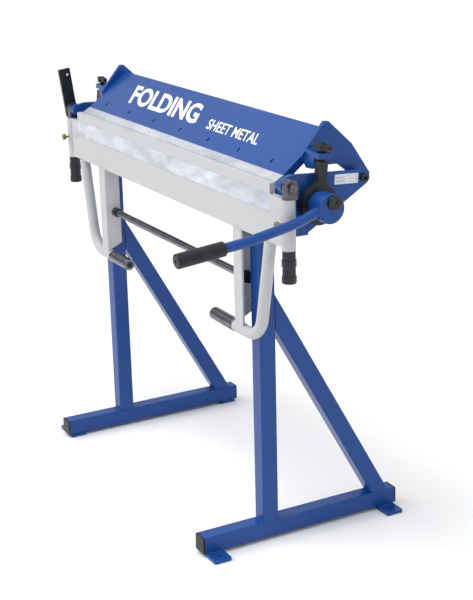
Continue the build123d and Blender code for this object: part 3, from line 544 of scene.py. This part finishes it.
# ---------------------------------------------------------------- threaded studs
def threaded_studs():
    """Threads on the studs that the wing nuts run on."""
    nut = next(j for j in frame["joints"] if j["name"] == "right_nut_turn")
    axis = Vector(nut["axis"])
    for side, name in ((-1, "left"), (1, "right")):
        low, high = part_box(f"{name}_rod_stud")
        centre = Vector(((low.x + high.x) / 2, nut["pos_m"][1], nut["pos_m"][2]))
        top = high.z - 1.0 * MM
        start = centre + axis * ((low.z + 2 * MM - centre.z) / axis.z)
        parts = bmesh.new()
        length = (top - start.z) / axis.z
        helix_thread(parts, start, axis, THREAD_CORE, THREAD_CREST, THREAD_PITCH, length)
        thing = new_piece(f"{name}_stud_thread", parts, "black_steel", f"{name}_rod")
        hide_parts(f"{name}_rod_stud")


threaded_studs()


# ---------------------------------------------------------------- lettering on the face
def lettering(name, words, x, up_slope, height, width, bold):
    """White generic words on the sloped face, from x along it and up the slope from the blade."""
    corner = Vector((0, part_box("clamp_face_plate")[0].y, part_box("clamp_blade")[1].z))
    up = Vector((0, math.cos(FACE_SLOPE), math.sin(FACE_SLOPE)))
    out = Vector((0, -up.z, up.y))
    curve = bpy.data.curves.new(name, "FONT")
    curve.body = words
    curve.shear = LETTER_SHEAR
    curve.offset = bold
    curve.extrude = 0.5
    curve.resolution_u = 4
    typed = bpy.data.objects.new(name + "_type", curve)
    mesh = bpy.data.meshes.new_from_object(typed)
    bpy.data.objects.remove(typed)
    bpy.data.curves.remove(curve)
    parts = bmesh.new()
    parts.from_mesh(mesh)
    bpy.data.meshes.remove(mesh)
    x0, x1 = (f(v.co.x for v in parts.verts) for f in (min, max))
    y0, y1 = (f(v.co.y for v in parts.verts) for f in (min, max))
    for vert in parts.verts:
        across = x + (vert.co.x - x0) / (x1 - x0) * width
        rise = up_slope + (vert.co.y - y0) / (y1 - y0) * height
        vert.co = corner + Vector((across, 0, 0)) + up * rise + out * (vert.co.z * LETTER_T)
    return new_piece(name, parts, "letter_white", "clamp_beam")


lettering("face_title", "FOLDING", x=-377 * MM, up_slope=49 * MM,
          height=59 * MM, width=408 * MM, bold=0.030)
lettering("face_subtitle", "SHEET METAL", x=81 * MM, up_slope=47.5 * MM,
          height=29.5 * MM, width=250 * MM, bold=0.012)


# ---------------------------------------------------------------- label print
def label_print():
    """Generic ruled lines and dashes on the blank label, placed in mm from its centre."""
    low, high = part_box("rating_label")
    tilt = Matrix.Rotation(LABEL_TILT, 4, "X")
    centre = Vector((high.x, (low.y + high.y) / 2, (low.z + high.z) / 2))
    parts = bmesh.new()

    def rule(y0, y1, z0, z1):
        corners = [(y0, z0), (y1, z0), (y1, z1), (y0, z1)]
        front = [parts.verts.new(centre + tilt @ Vector((0.06 * MM, y * MM, z * MM))) for y, z in corners]
        back = [parts.verts.new(centre + tilt @ Vector((-0.05 * MM, y * MM, z * MM))) for y, z in corners]
        parts.faces.new(front)
        parts.faces.new(list(reversed(back)))
        for k in range(4):
            parts.faces.new((back[k], back[(k + 1) % 4], front[(k + 1) % 4], front[k]))

    for z in LABEL_ROWS:
        rule(LABEL_LEFT, LABEL_RIGHT, z - LABEL_RULE / 2, z + LABEL_RULE / 2)
    for y in (LABEL_LEFT, LABEL_RIGHT - LABEL_RULE):
        rule(y, y + LABEL_RULE, LABEL_ROWS[-1], LABEL_ROWS[0])
    for z in (3.0, -3.8):
        for i in range(DASHES):
            y = -25.0 + DASH_PITCH * i
            rule(y, y + DASH_LENGTH, z - 0.9, z + 0.9)
    return new_piece("label_print", parts, "label_ink", "stand")


label_print()


# ---------------------------------------------------------------- floor, light, camera
def floor():
    """A large plain floor at height zero."""
    parts = bmesh.new()
    half = ROOM / 2
    corners = [(-half, -half), (half, -half), (half, half), (-half, half)]
    parts.faces.new([parts.verts.new((x, y, 0)) for x, y in corners])
    mesh = bpy.data.meshes.new("floor")
    parts.to_mesh(mesh)
    parts.free()
    mesh.materials.append(floor_white())
    thing = bpy.data.objects.new("floor", mesh)
    bpy.context.scene.collection.objects.link(thing)


def sky():
    """Soft studio surround: bright overhead, dimmer towards the horizon."""
    world = bpy.data.worlds.new("studio")
    bpy.context.scene.world = world
    world.use_nodes = True
    tree = world.node_tree
    ground = tree.nodes["Background"]
    coords = tree.nodes.new("ShaderNodeTexCoord")
    split = tree.nodes.new("ShaderNodeSeparateXYZ")
    ramp = tree.nodes.new("ShaderNodeValToRGB")
    ramp.color_ramp.elements[0].position = 0.0
    ramp.color_ramp.elements[0].color = (0.30, 0.31, 0.33, 1)
    ramp.color_ramp.elements[1].position = 0.75
    ramp.color_ramp.elements[1].color = (1.0, 1.0, 1.0, 1)
    middle = ramp.color_ramp.elements.new(0.28)
    middle.color = (0.55, 0.56, 0.58, 1)
    tree.links.new(coords.outputs["Generated"], split.inputs[0])
    tree.links.new(split.outputs["Z"], ramp.inputs["Fac"])
    tree.links.new(ramp.outputs["Color"], ground.inputs["Color"])
    ground.inputs["Strength"].default_value = 1.0


def lamp(name, kind, at, aim, energy, **settings):
    """A light of one kind, placed at a point and turned towards another."""
    data = bpy.data.lights.new(name, kind)
    data.energy = energy
    for key, value in settings.items():
        setattr(data, key, value)
    thing = bpy.data.objects.new(name, data)
    bpy.context.scene.collection.objects.link(thing)
    thing.location = at
    thing.rotation_mode = "QUATERNION"
    thing.rotation_quaternion = (Vector(aim) - Vector(at)).to_track_quat("-Z", "Y")


def lights():
    lamp("key_sun", "SUN", (-1.4, -3.0, 3.6), (0, 0, 0.4), 1.35, angle=math.radians(60))
    lamp("top_box", "AREA", (0.6, -0.8, 3.0), (0.2, -0.1, 0.8), 16.0,
         shape="RECTANGLE", size=0.9, size_y=0.35)
    lamp("right_box", "AREA", (3.2, 1.6, 1.9), (0.4, 0, 0.6), 4.0,
         shape="RECTANGLE", size=0.9, size_y=1.8)


def camera():
    """The camera: yaw about Z, pitch downwards and a small roll about the view."""
    data = bpy.data.cameras.new("camera")
    data.lens = CAMERA_LENS
    data.sensor_width = SENSOR_WIDTH
    data.clip_end = 200.0
    thing = bpy.data.objects.new("camera", data)
    bpy.context.scene.collection.objects.link(thing)
    yaw, pitch, roll = CAMERA_YAW, CAMERA_PITCH, CAMERA_ROLL
    ahead = Vector((-math.sin(yaw) * math.cos(pitch), math.cos(yaw) * math.cos(pitch), -math.sin(pitch)))
    right = Vector((math.cos(yaw), math.sin(yaw), 0))
    above = right.cross(ahead)
    rolled = right * math.cos(roll) + above * math.sin(roll)
    above = above * math.cos(roll) - right * math.sin(roll)
    turn = Matrix((rolled, above, -ahead)).transposed().to_4x4()
    thing.matrix_world = Matrix.Translation(CAMERA_AT) @ turn
    bpy.context.scene.camera = thing


floor()
sky()
lights()
camera()
bpy.context.scene.view_settings.view_transform = "Standard"
